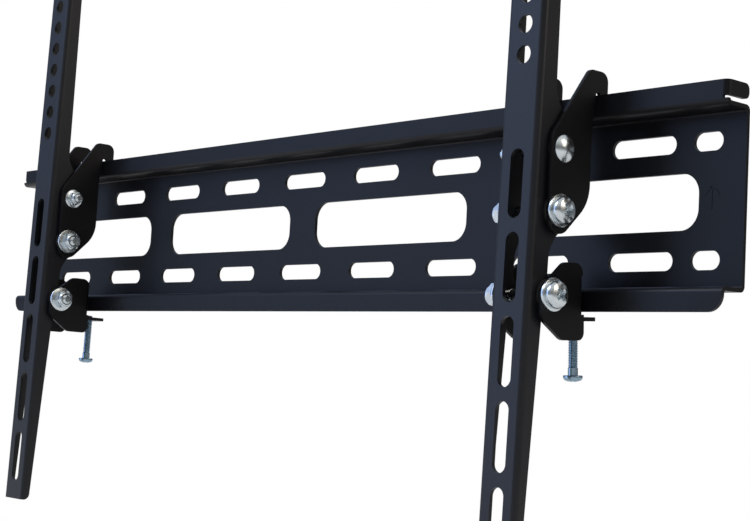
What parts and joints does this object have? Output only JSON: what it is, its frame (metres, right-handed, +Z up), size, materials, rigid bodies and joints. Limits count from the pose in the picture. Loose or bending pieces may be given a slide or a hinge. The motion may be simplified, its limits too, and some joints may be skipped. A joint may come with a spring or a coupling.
{
  "type": "tilting tv wall mount",
  "caption": "Slotted wall plate with a hook rail and two upright channel arms that slide along it, tilt and latch below.",
  "frame": {"origin": "centre of the wall plate's back face", "axes": "+Y into the wall, +Z up, +X to the right of someone facing the wall"},
  "size_m": [0.638, 0.0601, 0.4259],
  "materials": {
    "black_steel": "satin black powder coat",
    "zinc_plate": "bright zinc plate",
    "black_nylon": "moulded nylon"
  },
  "bodies": {
    "wall": {"wall_plate": "black_steel"},
    "left_hanger": {"left_hook_plate_outer": "black_steel", "left_hook_plate_inner": "black_steel", "left_pivot_bolt": "zinc_plate", "left_pivot_nut": "zinc_plate", "left_pivot_spacers": "black_nylon", "left_lock_bolt": "zinc_plate", "left_lock_washers": "zinc_plate", "left_lock_nut": "zinc_plate", "left_lock_spacers": "black_nylon"},
    "left_arm_body": {"left_arm": "black_steel"},
    "left_latch_body": {"left_latch": "black_steel", "left_latch_bolt": "zinc_plate", "left_latch_washers": "zinc_plate", "left_latch_nut": "zinc_plate", "left_latch_spacers": "black_nylon"},
    "left_screw": {"left_security_screw": "zinc_plate"},
    "right_hanger": {"right_hook_plate_outer": "black_steel", "right_hook_plate_inner": "black_steel", "right_pivot_bolt": "zinc_plate", "right_pivot_nut": "zinc_plate", "right_pivot_spacers": "black_nylon", "right_lock_bolt": "zinc_plate", "right_lock_washers": "zinc_plate", "right_lock_nut": "zinc_plate", "right_lock_spacers": "black_nylon"},
    "right_arm_body": {"right_arm": "black_steel"},
    "right_latch_body": {"right_latch": "black_steel", "right_latch_bolt": "zinc_plate", "right_latch_washers": "zinc_plate", "right_latch_nut": "zinc_plate", "right_latch_spacers": "black_nylon"},
    "right_screw": {"right_security_screw": "zinc_plate"}
  },
  "joints": [
    {"name": "left_slide", "type": "slide", "parent": "wall", "child": "left_hanger", "axis": [1, 0, 0], "range_m": [-0.0759, 0.1964]},
    {"name": "left_tilt", "type": "hinge", "parent": "left_hanger", "child": "left_arm_body", "pos_m": [-0.2239, -0.0392, 0.0234], "axis": [-1, 0, 0], "range_deg": [-1.5, 8.5]},
    {"name": "left_latch_swing", "type": "hinge", "parent": "left_hanger", "child": "left_latch_body", "pos_m": [-0.2239, -0.0434, -0.04647], "axis": [-1, 0, 0], "range_deg": [-6, 37]},
    {"name": "left_screw_travel", "type": "slide", "parent": "left_latch_body", "child": "left_screw", "axis": [0, 0.0175, 0.9998], "range_m": [0, 0.008]},
    {"name": "right_slide", "type": "slide", "parent": "wall", "child": "right_hanger", "axis": [1, 0, 0], "range_m": [-0.1988, 0.0735]},
    {"name": "right_tilt", "type": "hinge", "parent": "right_hanger", "child": "right_arm_body", "pos_m": [0.2263, -0.0392, 0.0234], "axis": [-1, 0, 0], "range_deg": [-1.3, 8.7]},
    {"name": "right_latch_swing", "type": "hinge", "parent": "right_hanger", "child": "right_latch_body", "pos_m": [0.2263, -0.0434, -0.04647], "axis": [-1, 0, 0], "range_deg": [-2.15, 40.85]},
    {"name": "right_screw_travel", "type": "slide", "parent": "right_latch_body", "child": "right_screw", "axis": [0, -0.0497, 0.9988], "range_m": [0, 0.008]}
  ]
}
